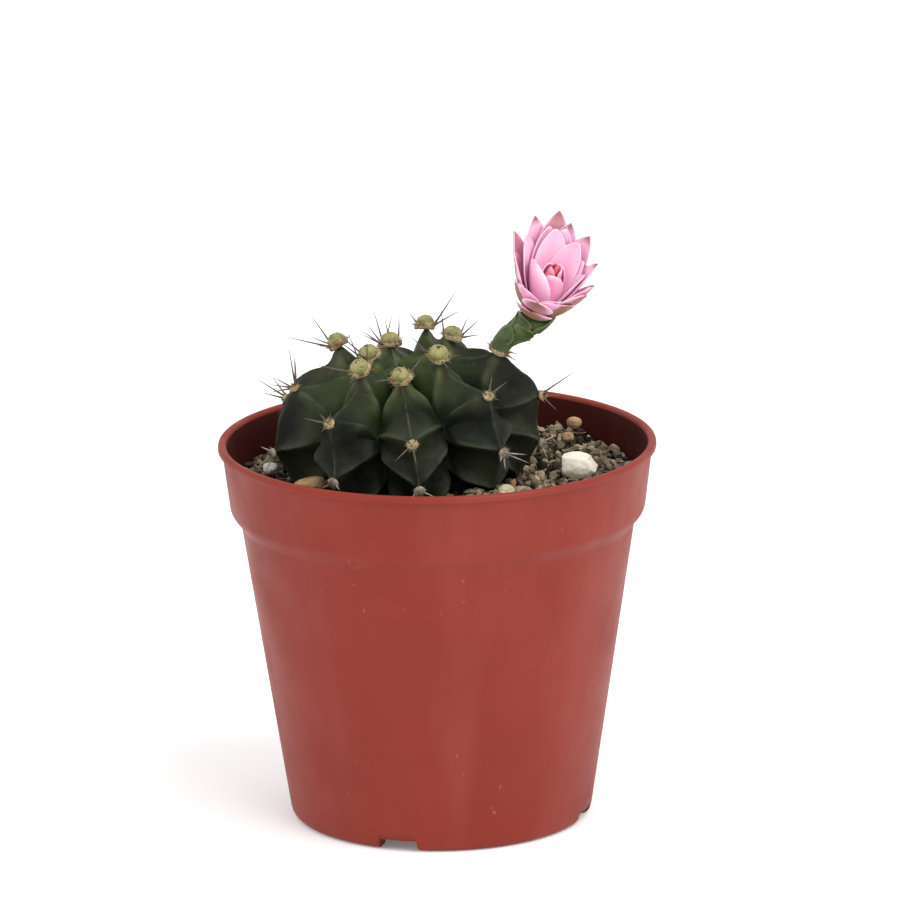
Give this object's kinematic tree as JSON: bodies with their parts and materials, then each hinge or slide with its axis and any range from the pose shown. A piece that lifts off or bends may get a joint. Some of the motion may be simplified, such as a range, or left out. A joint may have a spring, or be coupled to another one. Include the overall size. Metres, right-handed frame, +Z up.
{
  "type": "potted round cactus",
  "caption": "Small round ribbed cactus with green buds and a pink flower on a side tube, growing in gritty mix in a tapered plastic nursery pot.",
  "frame": {"origin": "middle of the pot's foot, on the surface that it stands on", "axes": "+Z up along the pot's axis, -Y is the front, +X is to the right, where the flower leans"},
  "size_m": [0.085, 0.085, 0.1212],
  "materials": {
    "red_plastic": "matt terracotta-red moulded plastic, lightly scuffed",
    "potting_mix": "loose grey-brown grit and fine bark",
    "pumice": "rough pale pumice",
    "cactus_skin": "waxy, dark green-black skin with grey-green bands",
    "felt_and_spines": "cream felt cushions with dry grey-brown spines",
    "bud_green": "smooth yellow-green bud",
    "tube_green": "smooth green tube with pale-edged scales",
    "inner_petal": "soft, slightly translucent pink petal",
    "outer_petal": "soft, slightly translucent pale pink petal",
    "heart_petal": "deep coral-pink petals, still rolled",
    "sepal": "brown-green outer petal with pink edges"
  },
  "bodies": {
    "root": {"areole_a1": "felt_and_spines", "areole_a2": "felt_and_spines", "areole_a3": "felt_and_spines", "areole_b1": "felt_and_spines", "areole_b2": "felt_and_spines", "areole_b3": "felt_and_spines", "areole_c1": "felt_and_spines", "areole_c2": "felt_and_spines", "areole_c3": "felt_and_spines", "areole_d1": "felt_and_spines", "areole_d2": "felt_and_spines", "areole_d3": "felt_and_spines", "areole_e1": "felt_and_spines", "areole_e2": "felt_and_spines", "areole_e3": "felt_and_spines", "areole_f1": "felt_and_spines", "areole_f2": "felt_and_spines", "areole_f3": "felt_and_spines", "areole_g1": "felt_and_spines", "areole_g2": "felt_and_spines", "areole_g3": "felt_and_spines", "areole_h1": "felt_and_spines", "areole_h2": "felt_and_spines", "areole_h3": "felt_and_spines", "areole_i1": "felt_and_spines", "areole_i2": "felt_and_spines", "areole_i3": "felt_and_spines", "bud_a": "bud_green", "bud_b": "bud_green", "bud_c": "bud_green", "bud_d": "bud_green", "bud_f": "bud_green", "bud_g": "bud_green", "bud_h": "bud_green", "bud_i": "bud_green", "cactus_body": "cactus_skin", "flower_heart": "heart_petal", "flower_tube": "tube_green", "inner_petal_1": "inner_petal", "inner_petal_2": "inner_petal", "inner_petal_3": "inner_petal", "inner_petal_4": "inner_petal", "inner_petal_5": "inner_petal", "nursery_pot": "red_plastic", "outer_petal_1": "outer_petal", "outer_petal_2": "outer_petal", "outer_petal_3": "outer_petal", "outer_petal_4": "outer_petal", "outer_petal_5": "outer_petal", "outer_petal_6": "outer_petal", "outer_petal_7": "outer_petal", "potting_mix": "potting_mix", "pumice_stone": "pumice", "sepal_1": "sepal", "sepal_2": "sepal", "sepal_3": "sepal", "sepal_4": "sepal", "sepal_5": "sepal", "sepal_6": "sepal"}
  },
  "joints": []
}
